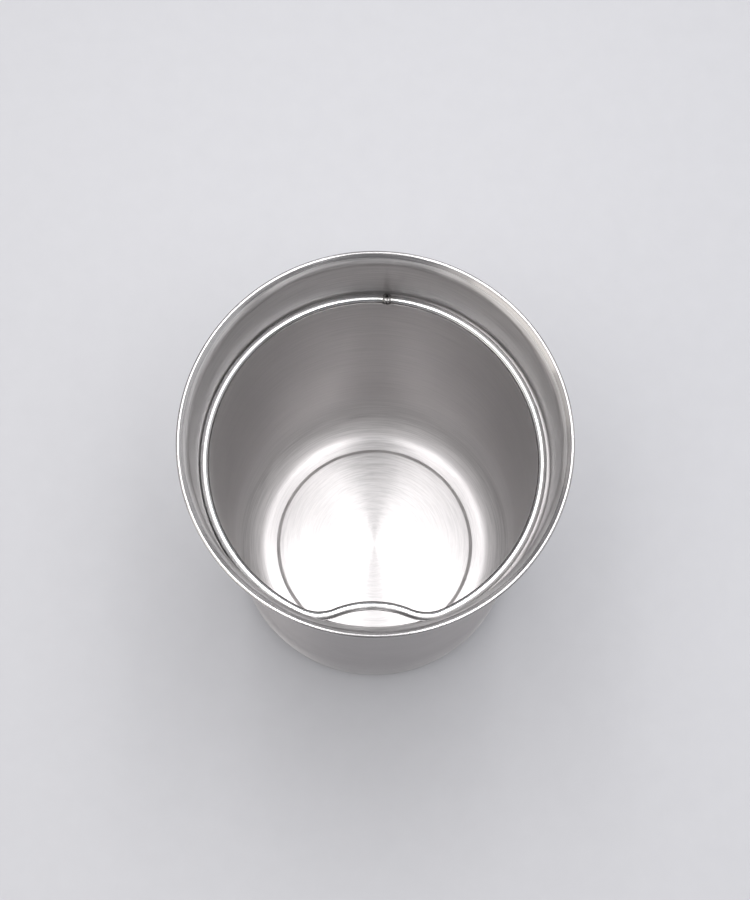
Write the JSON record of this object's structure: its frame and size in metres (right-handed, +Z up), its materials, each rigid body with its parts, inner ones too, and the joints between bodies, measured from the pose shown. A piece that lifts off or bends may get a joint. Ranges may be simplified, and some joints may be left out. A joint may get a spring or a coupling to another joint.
{
  "type": "waste bin",
  "caption": "Small round open-top waste bin in brushed stainless steel, with an inner ledge and a loose wire bag ring that has a finger bump.",
  "frame": {"origin": "centre of the base, on the plane that the bin stands on", "axes": "+Z up along the axis of the bin, -Y towards the front, where the finger bump of the bag ring is, +X to the right seen from the front"},
  "size_m": [0.211, 0.211, 0.3],
  "materials": {
    "shell_steel": "stainless steel sheet, brushed round the axis inside and out, with a satin lustre",
    "wire_steel": "bright drawn stainless steel wire, slightly dulled at the weld"
  },
  "bodies": {
    "bin": {"bin_shell": "shell_steel"},
    "ring": {"bag_ring": "wire_steel"}
  },
  "joints": [
    {"name": "ring_lift", "type": "slide", "parent": "bin", "child": "ring", "axis": [0, 0, 1], "range_m": [0, 0.12]}
  ]
}
